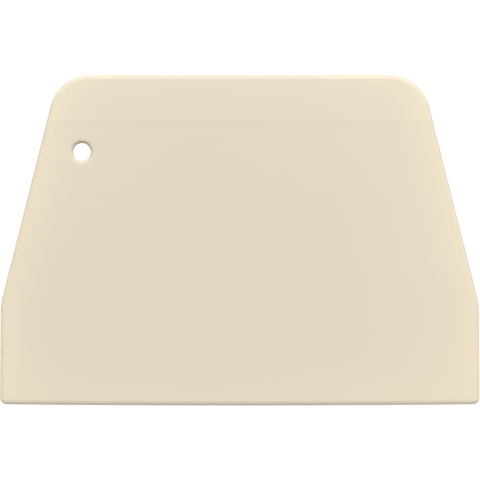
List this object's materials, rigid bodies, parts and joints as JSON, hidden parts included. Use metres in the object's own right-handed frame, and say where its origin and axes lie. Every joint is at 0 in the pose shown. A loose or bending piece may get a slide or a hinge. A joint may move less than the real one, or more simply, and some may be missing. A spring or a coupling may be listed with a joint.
{
  "type": "bench scraper",
  "caption": "Trapezoid hand scraper moulded in one piece of ivory plastic: long thin blade edge, thicker grip band, rounded corners and edges, and a hang hole near one corner.",
  "frame": {"origin": "on the flat back, under the middle of the plate's bounding box", "axes": "+X along the blade edge, +Y from the blade edge to the grip, +Z up out of the front face as the scraper lies on its back; with +Y up and the front face towards the viewer, the hang hole is at the upper left"},
  "size_m": [0.145, 0.1, 0.003],
  "materials": {
    "ivory_plastic": "smooth satin, ivory, slightly translucent"
  },
  "bodies": {
    "root": {"scraper_plate": "ivory_plastic"}
  },
  "joints": []
}
